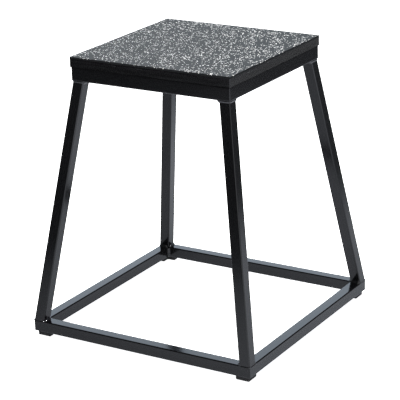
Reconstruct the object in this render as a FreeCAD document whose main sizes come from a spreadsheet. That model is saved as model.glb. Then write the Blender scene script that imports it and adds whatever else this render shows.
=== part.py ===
import FreeCAD, Part
import math
import os
import re

import Sketcher

# A plyometric box: a square deck on four leaning legs, between a mitred top frame and a mitred base frame.
# The origin is on the floor under the centre of the deck, +Z is up and the front looks along -Y.

os.makedirs("parts", exist_ok=True)
doc = FreeCAD.newDocument("plyo_box")
sheet = doc.addObject("Spreadsheet::Sheet", "Sizes")

# Driving sizes in millimetres. Each name is an alias in the sheet.
DRIVING_SIZES = {
    "box_height": 610,             # floor to the top of the mat
    "base_side": 534,              # outside of the base frame
    "deck_side": 383,              # outside of the board and the mat
    "deck_overhang": 2,            # deck past the top frame, on each side
    "deck_corner": 2,              # plan radius of the deck's corners
    "board_thickness": 18,
    "mat_thickness": 4,
    "mat_edge": 1.5,               # bevel of the mat's upper edge
    "top_tube": 30,                # outside of the top frame's square tube
    "top_wall": 1.5,
    "top_round": 3,                # outer radius of the tube's long edges
    "base_tube": 25,
    "base_wall": 1.5,
    "base_round": 2.5,
    "leg_tube": 25,
    "leg_wall": 1.5,
    "leg_round": 2.5,
    "least_corner": 0.3,           # smallest straight cut in the inner corners of any tube
    "frame_corner": 1.5,           # plan radius of the frames' ground outer corners
    "leg_inset_top": 2,            # leg's outer faces behind the top frame's
    "leg_inset_base": 0.5,         # leg's outer faces behind the base frame's
    "foot_height": 10,
    "foot_arm": 32,                # length of each arm of the L, along its outside
    "foot_width": 14,              # width of each arm
    "foot_inset": 5,               # foot's outer faces behind the base frame's
    "foot_corner": 2,              # bevel of the foot's upright edges
    "foot_edge": 1.2,              # bevel of the foot's lower edge
    "screw_clearance": 0.3,        # gap round a screw's shank or head
    "deck_screw_shank": 5,
    "deck_screw_flats": 8,         # across the flats of its hexagon head
    "deck_head_height": 3.5,
    "deck_screw_bite": 13,         # length in the board
    "washer_diameter": 10,
    "washer_thickness": 1,
    "access_clearance": 1,         # gap round a washer in the hole that it goes in by
    "foot_screw_place": 22,        # along an arm, from the foot's outer corner
    "foot_screw_shank": 4,
    "foot_screw_flats": 6,
    "foot_head_height": 2.5,
    "foot_screw_sink": 5,          # floor to the seat of the head
    "foot_screw_bite": 4,          # length past the rail's wall
    "leg_weld": 5,                 # bead round the top of a leg
    "weld_toe": 0.5,               # thickness of that bead at its lower end
    "weld_edge": 0.6,              # that bead's outer edge behind the top frame's face
    "base_weld": 5,                # bead at the bottom of a leg
    "corner_weld": 5.5,            # bead in the inner corners of the frames
}

# Sizes that follow from those above.
WORKED_SIZES = {
    "top_side": "=deck_side - 2 * deck_overhang",
    "mat_level": "=box_height - mat_thickness",
    "board_level": "=mat_level - board_thickness",
    "top_level": "=board_level - top_tube",
    "leg_level": "=foot_height + base_tube",
    "leg_rise": "=top_level - leg_level",
    "leg_base_reach": "=base_side / 2 - leg_inset_base - leg_tube / 2",
    "leg_top_reach": "=top_side / 2 - leg_inset_top - leg_tube / 2",
    "leg_splay": "=(leg_base_reach - leg_top_reach) / leg_rise",
    "leg_lean": "=atan(sqrt(2) * leg_splay)",
    "top_inner_corner": "=max(top_round - top_wall; least_corner)",
    "base_inner_corner": "=max(base_round - base_wall; least_corner)",
    "leg_inner_corner": "=max(leg_round - leg_wall; least_corner)",
    "mat_bevel": "=min(mat_edge; mat_thickness / 2)",
    "foot_reach": "=base_side / 2 - foot_inset",
    "deck_screw_line": "=top_side / 2 - top_tube / 2",
    "deck_hole": "=deck_screw_shank + 2 * screw_clearance",
    "access_hole": "=washer_diameter + 2 * access_clearance",
    "washer_level": "=board_level - top_wall - washer_thickness",
    "foot_screw_line": "=foot_reach - foot_width / 2",
    "foot_screw_reach": "=foot_reach - foot_screw_place",
    "foot_hole": "=foot_screw_shank + 2 * screw_clearance",
    "foot_head_hole": "=2 / sqrt(3) * foot_screw_flats + 2 * screw_clearance",
}

for row, (alias, content) in enumerate({**DRIVING_SIZES, **WORKED_SIZES}.items(), start=1):
    sheet.set(f"A{row}", alias)
    sheet.set(f"B{row}", str(content))
    sheet.setAlias(f"B{row}", alias)
doc.recompute()

# Quarter turns about the vertical carry the front rail and the front right corner to all the others.
SIDES = ["front", "right", "rear", "left"]
CORNERS = ["front_right", "rear_right", "rear_left", "front_left"]
QUARTER_TURN = 90
ROUND_CIRCLE = 360
HEAD_SIDES = 6
SHANK_SIDES = 12            # flats that stand for the round of a hidden shank or washer

ORIGIN_POINT = (-1, 1)
START, END, CENTRE = 1, 2, 3
UPWARD = FreeCAD.Vector(0, 0, 1)
SAME_LEVEL = 0.001


# Expressions

def from_sheet(text):
    """Put the sheet's name before each of its aliases, which all hold an underscore."""
    return re.sub(r"[a-z]+(?:_[a-z]+)+", r"Sizes.\g<0>", text)


def number(text):
    """The present value of an expression."""
    return float(sheet.evalExpression(from_sheet(text)))


def bind(item, property_name, text):
    """Tie a property to the sheet."""
    item.setExpression(property_name, from_sheet(text))


def place(x="0", y="0", z="0", turn="0", axis="0; 0; 1"):
    """Expression for a place, turned about an axis through it."""
    return f"placement(vector({x}; {y}; {z}); rotation(vector({axis}); {turn}))"


def carried_round(turns, placement):
    """Expression for a placement carried round the box by quarter turns."""
    return place(turn=str(turns * QUARTER_TURN)) + " * " + placement


# Sketches

def add_sketch(body, plane="XY_Plane", offset=""):
    """A sketch on one of the body's own planes, moved by the offset."""
    sketch = body.newObject("Sketcher::SketchObject", "Sketch")
    sketch.AttachmentSupport = [(origin_feature(body, plane), "")]
    sketch.MapMode = "FlatFace"
    if offset:
        bind(sketch, "AttachmentOffset", offset)
    return sketch


def origin_feature(body, role):
    """One of the body's own planes or axes."""
    return next(feature for feature in body.Origin.OriginFeatures if feature.Role == role)


def dimension(sketch, kind, text, *ends):
    """A dimension that follows the sheet."""
    index = sketch.addConstraint(Sketcher.Constraint(kind, *ends, number(text)))
    bind(sketch, f"Constraints[{index}]", text)


def locate(sketch, curve, point, x, y):
    """Dimension a point of a curve from the sketch's origin."""
    dimension(sketch, "DistanceX", x, *ORIGIN_POINT, curve, point)
    dimension(sketch, "DistanceY", y, *ORIGIN_POINT, curve, point)


def left_arc(start, end, radius):
    """The arc of less than half a circle that turns left from start to end."""
    chord = end - start
    to_left = FreeCAD.Vector(-chord.y, chord.x, 0).normalize()
    centre = (start + end) * 0.5 + to_left * math.sqrt(radius ** 2 - (chord.Length / 2) ** 2)
    first = math.atan2(start.y - centre.y, start.x - centre.x)
    last = math.atan2(end.y - centre.y, end.x - centre.x)
    return Part.ArcOfCircle(Part.Circle(centre, UPWARD, radius), first, last)


def outline(sketch, corners):
    """A closed outline. A corner's third value makes the stretch that ends there an arc of that radius."""
    spots = [FreeCAD.Vector(number(corner[0]), number(corner[1]), 0) for corner in corners]
    curves = []
    for corner, start, end in zip(corners, spots[-1:] + spots[:-1], spots):
        is_arc = len(corner) == 3
        shape = left_arc(start, end, number(corner[2])) if is_arc else Part.LineSegment(start, end)
        curve = sketch.addGeometry(shape)
        locate(sketch, curve, END, corner[0], corner[1])
        if is_arc:
            dimension(sketch, "Radius", corner[2], curve)
        curves.append(curve)
    for before, after in zip(curves[-1:] + curves[:-1], curves):
        sketch.addConstraint(Sketcher.Constraint("Coincident", before, END, after, START))


def square(sketch, side, corner, is_round=True):
    """A square about the sketch's origin, whose corners are quarter arcs or straight cuts."""
    half = f"({side}) / 2"
    flat = f"({half} - {corner})"
    arc = (corner,) if is_round else ()
    outline(sketch, [
        (f"-{flat}", f"-{half}", *arc),
        (flat, f"-{half}"),
        (half, f"-{flat}", *arc),
        (half, flat),
        (flat, half, *arc),
        (f"-{flat}", half),
        (f"-{half}", flat, *arc),
        (f"-{half}", f"-{flat}"),
    ])


def tube_section(sketch, side, kind):
    """Square tube with rounded edges. Its bore, which is closed off all round, has its corners cut straight."""
    square(sketch, side, f"{kind}_round")
    square(sketch, f"{side} - 2 * {kind}_wall", f"{kind}_inner_corner", is_round=False)


def polygon(sketch, diameter, sides):
    """A regular polygon about the sketch's origin, with its size across corners."""
    outline(sketch, [(f"({diameter}) / 2 * cos({angle})", f"({diameter}) / 2 * sin({angle})")
                     for angle in range(0, ROUND_CIRCLE, ROUND_CIRCLE // sides)])


def circle(sketch, x, y, diameter):
    """A circle whose centre and diameter follow the sheet."""
    centre = FreeCAD.Vector(number(x), number(y), 0)
    curve = sketch.addGeometry(Part.Circle(centre, UPWARD, number(diameter) / 2))
    locate(sketch, curve, CENTRE, x, y)
    dimension(sketch, "Diameter", diameter, curve)


# Features

def new_body(name):
    """An empty body whose label is the name of the piece."""
    body = doc.addObject("PartDesign::Body", name)
    body.Label = name
    return body


def add_pad(body, sketch, length, side_type="One side"):
    """Raise the sketch along its normal."""
    pad = body.newObject("PartDesign::Pad", "Pad")
    pad.Profile = sketch
    pad.SideType = side_type
    bind(pad, "Length", length)
    doc.recompute()
    return pad


def add_pocket(body, sketch, length="", upward=False, side_type="One side"):
    """Cut the sketch out, to a depth or right through, and make sure that it took something away."""
    doc.recompute()
    volume_before = body.Shape.Volume
    pocket = body.newObject("PartDesign::Pocket", "Pocket")
    pocket.Profile = sketch
    pocket.SideType = side_type
    pocket.Reversed = upward
    if length:
        bind(pocket, "Length", length)
    else:
        pocket.Type = "ThroughAll"
    doc.recompute()
    if not body.Shape.Volume < volume_before:
        raise RuntimeError(f"a pocket of {body.Label} cuts nothing")
    return pocket


def bevel_edges(body, feature, is_chosen, size):
    """Chamfer the edges of a feature that a test picks."""
    bevel = body.newObject("PartDesign::Chamfer", "Bevel")
    numbered = enumerate(feature.Shape.Edges, start=1)
    bevel.Base = (feature, [f"Edge{index}" for index, edge in numbered if is_chosen(edge)])
    bind(bevel, "Size", size)
    doc.recompute()
    return bevel


def is_upright(edge):
    return all(abs(vertex.X - edge.Vertexes[0].X) + abs(vertex.Y - edge.Vertexes[0].Y) < SAME_LEVEL
               for vertex in edge.Vertexes)


def lies_at(edge, level):
    return abs(edge.BoundBox.ZMin - level) < SAME_LEVEL and abs(edge.BoundBox.ZMax - level) < SAME_LEVEL


def repeat_round_box(body, features):
    """Carry features to all four sides."""
    pattern = body.newObject("PartDesign::PolarPattern", "AllSides")
    pattern.Originals = features
    pattern.Axis = (origin_feature(body, "Z_Axis"), [""])
    pattern.Angle = ROUND_CIRCLE
    pattern.Occurrences = len(SIDES)
    body.Tip = pattern
    doc.recompute()


# Deck

def make_deck_board():
    """Plywood board with blind holes for the screws that come up from the top rails."""
    body = new_body("deck_board")
    bind(body, "Placement", place(z="board_level"))
    plan = add_sketch(body)
    square(plan, "deck_side", "deck_corner")
    add_pad(body, plan, "board_thickness")
    hole = add_sketch(body)
    circle(hole, "0", "-deck_screw_line", "deck_hole")
    pocket = add_pocket(body, hole, "deck_screw_bite + screw_clearance", upward=True)
    repeat_round_box(body, [pocket])
    return body


def make_deck_mat():
    """Rubber sheet, flush with the board's sides, with a bevelled upper edge."""
    body = new_body("deck_mat")
    bind(body, "Placement", place(z="mat_level"))
    plan = add_sketch(body)
    square(plan, "deck_side", "deck_corner")
    pad = add_pad(body, plan, "mat_thickness")
    upper_face = number("mat_thickness")
    bevel_edges(body, pad, lambda edge: lies_at(edge, upper_face), "mat_bevel")
    return body


# Frames

def make_rail(name, side, tube, kind, turns, level):
    """Square tube along one side of a frame, mitred at both ends."""
    body = new_body(name)
    middle = place(y=f"-({side} - {tube}) / 2", z=f"{level} + {tube} / 2")
    bind(body, "Placement", carried_round(turns, middle))
    section = add_sketch(body, "YZ_Plane")
    tube_section(section, tube, kind)
    add_pad(body, section, side, "Symmetric")

    # What is cut off one end lies past the mitre line and past the rounded outer corner.
    corner_start = f"{side} / 2 - frame_corner"
    corner_middle = "frame_corner * (1 - sqrt(0.5))"
    cut_off = add_sketch(body)
    outline(cut_off, [
        (corner_start, f"-1.5 * {tube}"),
        (corner_start, f"-0.5 * {tube}"),
        (f"{side} / 2 - {corner_middle}", f"-0.5 * {tube} + {corner_middle}", "frame_corner"),
        (f"{side} / 2 - 2 * {tube}", f"1.5 * {tube}"),
        (f"{side} / 2 + {tube}", f"1.5 * {tube}"),
        (f"{side} / 2 + {tube}", f"-1.5 * {tube}"),
    ])
    mitre = add_pocket(body, cut_off, side_type="Symmetric")
    other_end = body.newObject("PartDesign::Mirrored", "OtherEnd")
    other_end.Originals = [mitre]
    other_end.MirrorPlane = (origin_feature(body, "YZ_Plane"), [""])
    body.Tip = other_end
    return body


def make_top_rail(turns):
    """Top rail with a screw hole above and a wider hole below that the screw goes in by."""
    body = make_rail(f"top_rail_{SIDES[turns]}", "top_side", "top_tube", "top", turns, "top_level")
    screw_hole = add_sketch(body)
    circle(screw_hole, "0", "0", "deck_hole")
    add_pocket(body, screw_hole, upward=True)
    access_hole = add_sketch(body)
    circle(access_hole, "0", "0", "access_hole")
    add_pocket(body, access_hole)
    return body


def make_base_rail(turns):
    """Base rail with a hole below, near each end, for the screw of a foot."""
    body = make_rail(f"base_rail_{SIDES[turns]}", "base_side", "base_tube", "base", turns, "foot_height")
    screw_holes = add_sketch(body)
    for x in ("-foot_screw_reach", "foot_screw_reach"):
        circle(screw_holes, x, "(base_side - base_tube) / 2 - foot_screw_line", "foot_hole")
    add_pocket(body, screw_holes)
    return body


# Legs. In a leg's own frame +X points out along the box's diagonal and the leg leans back from it.

TURN_TO_DIAGONAL = -45
LEG_BASE = place("leg_base_reach", "-leg_base_reach", "leg_level", str(TURN_TO_DIAGONAL))
LEG_SECTION = (place(turn="-leg_lean", axis="0; 1; 0") + " * "
               + place(z="-leg_tube", turn=str(-TURN_TO_DIAGONAL)))


def make_leg(turns):
    """Square tube that leans along the diagonal, with both ends cut level to sit flat on the frames."""
    body = new_body(f"leg_{CORNERS[turns]}")
    bind(body, "Placement", carried_round(turns, LEG_BASE))
    section = add_sketch(body, offset=LEG_SECTION)
    tube_section(section, "leg_tube", "leg")
    add_pad(body, section, "leg_rise / cos(leg_lean) + 2 * leg_tube")
    lower_cut = add_sketch(body)
    square(lower_cut, "4 * leg_tube", "leg_tube")
    add_pocket(body, lower_cut, "2 * leg_tube")
    upper_cut = add_sketch(body, offset=place("-leg_rise * tan(leg_lean)", z="leg_rise"))
    square(upper_cut, "4 * leg_tube", "leg_tube")
    add_pocket(body, upper_cut, "2 * leg_tube", upward=True)
    return body


# Feet

def make_foot(turns):
    """L-shaped rubber foot under a corner of the base frame, with a sunk screw in each arm."""
    body = new_body(f"foot_{CORNERS[turns]}")
    bind(body, "Placement", carried_round(turns, place("foot_reach", "-foot_reach")))
    plan = add_sketch(body)
    outline(plan, [
        ("0", "0"),
        ("0", "foot_arm"),
        ("-foot_width", "foot_arm"),
        ("-foot_width", "foot_width"),
        ("-foot_arm", "foot_width"),
        ("-foot_arm", "0"),
    ])
    pad = add_pad(body, plan, "foot_height")
    upright_bevels = bevel_edges(body, pad, is_upright, "foot_corner")
    bevel_edges(body, upright_bevels, lambda edge: lies_at(edge, 0), "foot_edge")
    shank_holes = add_sketch(body)
    head_holes = add_sketch(body)
    for x, y in (("-foot_screw_place", "foot_width / 2"), ("-foot_width / 2", "foot_screw_place")):
        circle(shank_holes, x, y, "foot_hole")
        circle(head_holes, x, y, "foot_head_hole")
    add_pocket(body, shank_holes, upward=True)
    add_pocket(body, head_holes, "foot_screw_sink", upward=True)
    return body


# Fasteners

def add_screw(body, x, y, seat, flats, head_height, shank, length):
    """A hexagon-head screw that points up, with the seat of its head at the given level."""
    hexagon = add_sketch(body, offset=place(x, y, f"{seat} - {head_height}"))
    polygon(hexagon, f"2 / sqrt(3) * {flats}", HEAD_SIDES)
    rod = add_sketch(body, offset=place(x, y, seat))
    polygon(rod, shank, SHANK_SIDES)
    return [add_pad(body, hexagon, head_height), add_pad(body, rod, length)]


def make_deck_screws():
    """Screws that hold the board, driven up from inside the top rails."""
    body = new_body("deck_screws")
    length = "washer_thickness + top_wall + deck_screw_bite"
    screw = add_screw(body, "0", "-deck_screw_line", "washer_level",
                      "deck_screw_flats", "deck_head_height", "deck_screw_shank", length)
    repeat_round_box(body, screw)
    return body


def make_deck_washers():
    """Washers between those screws' heads and the upper walls of the top rails."""
    body = new_body("deck_washers")
    ring = add_sketch(body, offset=place("0", "-deck_screw_line", "washer_level"))
    polygon(ring, "washer_diameter", SHANK_SIDES)
    polygon(ring, "deck_hole", SHANK_SIDES)
    repeat_round_box(body, [add_pad(body, ring, "washer_thickness")])
    return body


def make_foot_screws():
    """Screws, two in each foot, that hold the feet to the base rails."""
    body = new_body("foot_screws")
    length = "foot_height - foot_screw_sink + base_wall + foot_screw_bite"
    screws = []
    for x, y in (("foot_screw_reach", "-foot_screw_line"), ("foot_screw_line", "-foot_screw_reach")):
        screws += add_screw(body, x, y, "foot_screw_sink",
                            "foot_screw_flats", "foot_head_height", "foot_screw_shank", length)
    repeat_round_box(body, screws)
    return body


# Welds

def make_corner_welds(name, side, tube, kind, level):
    """Upright quarter-round beads between the flat inner faces of a frame's rails."""
    body = new_body(name)
    inner_corner = f"({side} / 2 - {tube})"
    bead = add_sketch(body, offset=place(inner_corner, f"-{inner_corner}", f"{level} + {kind}_round"))
    outline(bead, [
        ("0", "0"),
        ("0", "corner_weld"),
        ("-corner_weld", "0", "corner_weld"),
    ])
    repeat_round_box(body, [add_pad(body, bead, f"{tube} - 2 * {kind}_round")])
    return body


def cut_leg_out(body):
    """Take the whole section of the front right leg out of the beads that lie against it."""
    section = add_sketch(body, offset=f"{LEG_BASE} * {LEG_SECTION}")
    square(section, "leg_tube", "leg_round")
    return add_pocket(body, section, upward=True)


def make_leg_base_welds():
    """Beads across the flat tops of the base rails, against the two inner faces of each leg."""
    body = new_body("leg_base_welds")
    leg_face = "(leg_base_reach - leg_tube / 2)"
    flat_start = "(base_side / 2 - base_tube + base_round)"
    flat_width = "base_tube - 2 * base_round"
    along_front = add_sketch(body, "XZ_Plane", place(leg_face, "leg_level", flat_start))
    outline(along_front, [
        ("leg_tube / 2", "0"),
        ("leg_tube / 2", "base_weld"),
        ("0", "base_weld"),
        ("-base_weld", "0", "base_weld"),
    ])
    along_right = add_sketch(body, "YZ_Plane", place(f"-{leg_face}", "leg_level", flat_start))
    outline(along_right, [
        ("-leg_tube / 2", "0"),
        ("base_weld", "0"),
        ("0", "base_weld", "base_weld"),
        ("-leg_tube / 2", "base_weld"),
    ])
    beads = [add_pad(body, sketch, flat_width) for sketch in (along_front, along_right)]
    repeat_round_box(body, beads + [cut_leg_out(body)])
    return body


def add_square_at(body, level, inner, outer):
    """A level square at the front right corner, from its inner to its outer reach from the middle."""
    sketch = add_sketch(body, offset=place(z=level))
    outline(sketch, [
        (inner, f"-({outer})"),
        (outer, f"-({outer})"),
        (outer, f"-({inner})"),
        (inner, f"-({inner})"),
    ])
    return sketch


def make_leg_top_welds(top_rails):
    """Beads all round the tops of the legs, which also fill the hollow under the rails' rounded edges."""
    body = new_body("leg_top_beads")
    lower_middle = "leg_top_reach + leg_splay * leg_weld"
    lower = add_square_at(body, "top_level - leg_weld", f"{lower_middle} - leg_tube / 2 - weld_toe",
                          f"{lower_middle} + leg_tube / 2 + weld_toe")
    upper = add_square_at(body, "top_level", "leg_top_reach - leg_tube / 2 - leg_weld",
                          "top_side / 2 - weld_edge")
    bead = body.newObject("PartDesign::AdditiveLoft", "Bead")
    bead.Profile = lower
    bead.Sections = [upper]
    doc.recompute()
    rim = add_pad(body, upper, "top_wall")
    repeat_round_box(body, [bead, rim, cut_leg_out(body)])

    frame = doc.addObject("Part::MultiFuse", "top_frame")
    frame.Shapes = top_rails
    welds = doc.addObject("Part::Cut", "leg_top_welds")
    welds.Base = body
    welds.Tool = frame
    return welds


# Assembly

top_rails = [make_top_rail(turns) for turns in range(len(SIDES))]
pieces = [
    make_deck_mat(),
    make_deck_board(),
    *top_rails,
    *(make_leg(turns) for turns in range(len(CORNERS))),
    *(make_base_rail(turns) for turns in range(len(SIDES))),
    *(make_foot(turns) for turns in range(len(CORNERS))),
    make_deck_screws(),
    make_deck_washers(),
    make_foot_screws(),
    make_corner_welds("top_corner_welds", "top_side", "top_tube", "top", "top_level"),
    make_corner_welds("base_corner_welds", "base_side", "base_tube", "base", "foot_height"),
    make_leg_top_welds(top_rails),
    make_leg_base_welds(),
]
doc.recompute()

failed = [item.Label for item in doc.Objects if "Invalid" in item.State or "Error" in item.State]
failed += [piece.Label for piece in pieces if piece.Shape.isNull() or not piece.Shape.isValid()]
if failed:
    raise RuntimeError(f"these did not build: {failed}")

for piece in pieces:
    piece.Shape.exportStep(f"parts/{piece.Label}.step")
    print(f"{piece.Label}: {len(piece.Shape.Solids)} solids, {piece.Shape.Volume:.0f} mm3")
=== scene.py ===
# %% [markdown]
# # A steel-frame plyo box, dressed in Blender
# A plyo box is a stand to jump on. This one is a splayed frame of black square tube with a square deck on
# top. The solids come in as a fixed frame, so every tube already has its place and its size. What is left
# to Blender is what the solids leave plain: the flecked rubber, the paint, the ripples of the welds and the
# screw threads.

# %% Load the frame
import math
import bmesh
import bpy
from mathutils import Matrix, Vector


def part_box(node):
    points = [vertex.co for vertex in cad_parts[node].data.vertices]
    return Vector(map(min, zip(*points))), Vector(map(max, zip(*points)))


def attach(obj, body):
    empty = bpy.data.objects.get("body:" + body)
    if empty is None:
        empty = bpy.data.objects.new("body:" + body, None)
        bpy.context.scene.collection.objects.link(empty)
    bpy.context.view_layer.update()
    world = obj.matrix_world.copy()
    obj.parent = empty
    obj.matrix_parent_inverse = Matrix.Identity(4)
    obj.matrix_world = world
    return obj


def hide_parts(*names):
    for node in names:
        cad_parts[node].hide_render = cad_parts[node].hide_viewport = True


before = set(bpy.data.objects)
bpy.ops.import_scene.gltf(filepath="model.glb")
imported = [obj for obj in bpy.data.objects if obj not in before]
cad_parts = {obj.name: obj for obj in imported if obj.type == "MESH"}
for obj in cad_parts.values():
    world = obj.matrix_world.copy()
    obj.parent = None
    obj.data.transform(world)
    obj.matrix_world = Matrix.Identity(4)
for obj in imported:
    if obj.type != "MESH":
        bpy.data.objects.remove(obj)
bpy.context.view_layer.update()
MM = 0.001

# %% [markdown]
# ## Sums with sockets
# A material is a graph of nodes, and long graphs are hard to read as code. A small class can wrap a socket
# and give it the usual operators, so that `1 - mask * 0.5` adds the two Math nodes by itself. Any other node
# comes from one method, which sets the node's settings first and then its sockets. The same class serves
# geometry trees, because they take the same Math nodes.

# %% A socket that can be used in a sum
class Wire:
    """An output socket. Operators add Math nodes, and node() adds any other kind of node."""

    def __init__(self, socket):
        self.socket = socket

    @staticmethod
    def find(sockets, key):
        """A socket by its number, or by its name among those in use."""
        if isinstance(key, int):
            return sockets[key]
        return next(s for s in sockets if key in (s.name, s.identifier) and s.enabled)

    @staticmethod
    def node(tree, kind, inputs=None, output=0, **settings):
        """A new node of any kind: returns one of its outputs."""
        made = tree.nodes.new(kind)
        for name, value in settings.items():
            setattr(made, name, value)
        for key, value in (inputs or {}).items():
            target = Wire.find(made.inputs, key)
            if isinstance(value, Wire):
                tree.links.new(value.socket, target)
            else:
                target.default_value = value
        return Wire(Wire.find(made.outputs, output))

    @staticmethod
    def math(operation, *values):
        """A Math node on wires and numbers."""
        tree = next(value.socket.id_data for value in values if isinstance(value, Wire))
        return Wire.node(tree, "ShaderNodeMath", dict(enumerate(values)), operation=operation)

    def __add__(self, other):
        return Wire.math("ADD", self, other)

    def __sub__(self, other):
        return Wire.math("SUBTRACT", self, other)

    def __rsub__(self, other):
        return Wire.math("SUBTRACT", other, self)

    def __mul__(self, other):
        return Wire.math("MULTIPLY", self, other)

    def __truediv__(self, other):
        return Wire.math("DIVIDE", self, other)

    def __rtruediv__(self, other):
        return Wire.math("DIVIDE", other, self)

    def __pow__(self, other):
        return Wire.math("POWER", self, other)

    __radd__ = __add__
    __rmul__ = __mul__


print("wires: ready")

# %% [markdown]
# ## Words for materials
# Every finish below needs the same few things: a new material, some noise, a step, a mix of two colours and a
# bump. Each gets a short function here, so that a finish reads as a list of what can be seen on it. Patterns
# are laid out in the object's own coordinates, which are metres in the model, so grains have real sizes.

# %% Helpers for finishes
def new_finish(name):
    """A new material: returns it, its shader and the object's own coordinates."""
    material = bpy.data.materials.new(name)
    material.use_nodes = True
    tree = material.node_tree
    place = Wire.node(tree, "ShaderNodeTexCoord", output="Object")
    return material, tree.nodes["Principled BSDF"], place


def set_shader(shader, **values):
    """Sets or links the shader's sockets. An underscore in a name stands for a space."""
    for name, value in values.items():
        target = shader.inputs[name.replace("_", " ")]
        if isinstance(value, Wire):
            shader.id_data.links.new(value.socket, target)
        else:
            target.default_value = value


def noise(place, scale, detail, output="Fac"):
    """Soft random blots, about one over scale metres across. Detail adds finer ones."""
    inputs = {"Vector": place, "Scale": scale, "Detail": detail}
    return Wire.node(place.socket.id_data, "ShaderNodeTexNoise", inputs, output)


def ramp(value, low, high, start=0.0, end=1.0):
    """A smooth step from start to end while value goes from low to high."""
    inputs = {"Value": value, "From Min": low, "From Max": high, "To Min": start, "To Max": end}
    return Wire.node(value.socket.id_data, "ShaderNodeMapRange", inputs, interpolation_type="SMOOTHSTEP")


def mix_colour(factor, first, second):
    """One colour that turns into another as factor goes from 0 to 1."""
    inputs = {"Factor": factor, "A": first, "B": second}
    return Wire.node(factor.socket.id_data, "ShaderNodeMix", inputs, "Result", data_type="RGBA")


def bump(height, distance):
    """A normal for the shader, from a height that spans the given distance in metres."""
    inputs = {"Height": height, "Distance": distance, "Strength": 1.0}
    return Wire.node(height.socket.id_data, "ShaderNodeBump", inputs)


print("helpers for finishes: ready")

# %% Helpers for vectors
def vector(tree, x=0.0, y=0.0, z=0.0):
    """A vector from three wires or numbers."""
    return Wire.node(tree, "ShaderNodeCombineXYZ", {"X": x, "Y": y, "Z": z})


def coordinate(place, axis):
    """How far a place is along X, Y or Z."""
    return Wire.node(place.socket.id_data, "ShaderNodeSeparateXYZ", {"Vector": place}, axis)


def vector_math(operation, first, second, output="Vector"):
    """A sum with two vectors. The output is a vector, or a number with the name Value."""
    tree = first.socket.id_data
    return Wire.node(tree, "ShaderNodeVectorMath", {0: first, 1: second}, output, operation=operation)


def scaled(place, factor):
    """A vector made longer or shorter by a number."""
    inputs = {0: place, "Scale": factor}
    return Wire.node(place.socket.id_data, "ShaderNodeVectorMath", inputs, operation="SCALE")


print("helpers for vectors: ready")

# %% [markdown]
# ## Powder coat
# The tubes are dusted with black powder that melts into a glossy skin. It is nearly black by itself: the
# greys that the eye sees on it are the floor and the backdrop, mirrored. So the colour is kept very dark and
# the roughness low, and the detail is what real powder shows close up, the fine dimples called orange peel
# and faint smudges. Greys painted on the tubes would stay put when the camera moves, so they are left to the
# mirror. The welds look lighter than the tubes, so their skin gets a higher index of refraction, which makes
# it mirror more.

# %% Powder coat on tubes and on welds
PAINT_DARK = (0.0018, 0.0019, 0.0022, 1.0)
PAINT_LIGHT = (0.0036, 0.0037, 0.0042, 1.0)
PEEL_GRAIN = 650
PEEL_DEPTH = 0.02 * MM
SMUDGE_GRAIN = 14
SMUDGE_ROUGHNESS = 0.08
TUBE_ROUGHNESS = 0.09
WELD_ROUGHNESS = 0.10
PAINT_INDEX = 1.5
WELD_INDEX = 1.85


def powder_finish(name, roughness, index):
    """Glossy black paint with orange peel. The index says how strongly it mirrors."""
    material, shader, place = new_finish(name)
    smudge = noise(place, SMUDGE_GRAIN, detail=4.0)
    peel = noise(place, PEEL_GRAIN, detail=1.0)
    set_shader(
        shader,
        Base_Color=mix_colour(smudge, PAINT_DARK, PAINT_LIGHT),
        Roughness=roughness + SMUDGE_ROUGHNESS * smudge,
        Normal=bump(peel, PEEL_DEPTH),
        IOR=index,
    )
    return material


powder_coat = powder_finish("powder_coat", TUBE_ROUGHNESS, PAINT_INDEX)
coated_weld = powder_finish("coated_weld", WELD_ROUGHNESS, WELD_INDEX)
print("finishes:", powder_coat.name, coated_weld.name)

# %% [markdown]
# ## Painted plywood
# The deck board's edges are painted black, and the plies still show through as faint level streaks. Noise
# that is drawn out along the sides and squeezed in height gives such streaks on every edge, so one pattern in
# space serves them all. A wood texture mapped side by side would need seams at the corners. The paint on wood
# is also a little milky when it is seen at a slant, and a weak sheen gives that.

# %% Painted plywood
PLY_DARK = (0.0008, 0.0008, 0.0010, 1.0)
PLY_LIGHT = (0.0030, 0.0031, 0.0036, 1.0)
PLY_STRETCH = (12.0, 16.0, 300.0)
PLY_DEPTH = 0.12 * MM
PLY_BLOT_GRAIN = 30
STREAK_LOW = 0.35
STREAK_HIGH = 0.7
PLY_ROUGHNESS = 0.12
BLOT_ROUGHNESS = 0.06
STREAK_ROUGHNESS = 0.12
PLY_SHEEN = 0.28
PLY_SHEEN_ROUGHNESS = 0.3


def plywood_finish(name):
    """Black paint over plies."""
    material, shader, place = new_finish(name)
    grain = noise(vector_math("MULTIPLY", place, PLY_STRETCH), 1.0, detail=3.0)
    blot = noise(place, PLY_BLOT_GRAIN, detail=3.0)
    streak = ramp(grain, STREAK_LOW, STREAK_HIGH)
    set_shader(
        shader,
        Base_Color=mix_colour(streak, PLY_DARK, PLY_LIGHT),
        Roughness=PLY_ROUGHNESS + BLOT_ROUGHNESS * blot + STREAK_ROUGHNESS * streak,
        Normal=bump(grain, PLY_DEPTH),
        IOR=PAINT_INDEX,
        Sheen_Weight=PLY_SHEEN,
        Sheen_Roughness=PLY_SHEEN_ROUGHNESS,
    )
    return material


painted_plywood = plywood_finish("painted_plywood")
print("finish:", painted_plywood.name)

# %% [markdown]
# ## Flecked rubber
# The mat is black rubber crumb pressed with light granules. Each granule is a ragged chip, about two
# millimetres long, and chips of several sizes and directions lie side by side. A Voronoi texture cuts the
# plane into cells, one chip to a cell, and the cell's random colour decides which cells have a chip and how
# light it is. The coordinates are bent with fine noise first, because a bare Voronoi chip is a smooth oval.
# Thousands of chips as meshes would add weight and no shape, since the sheet is pressed flat. The cut sides
# stay plain, as the rim of the real one does.

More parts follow.
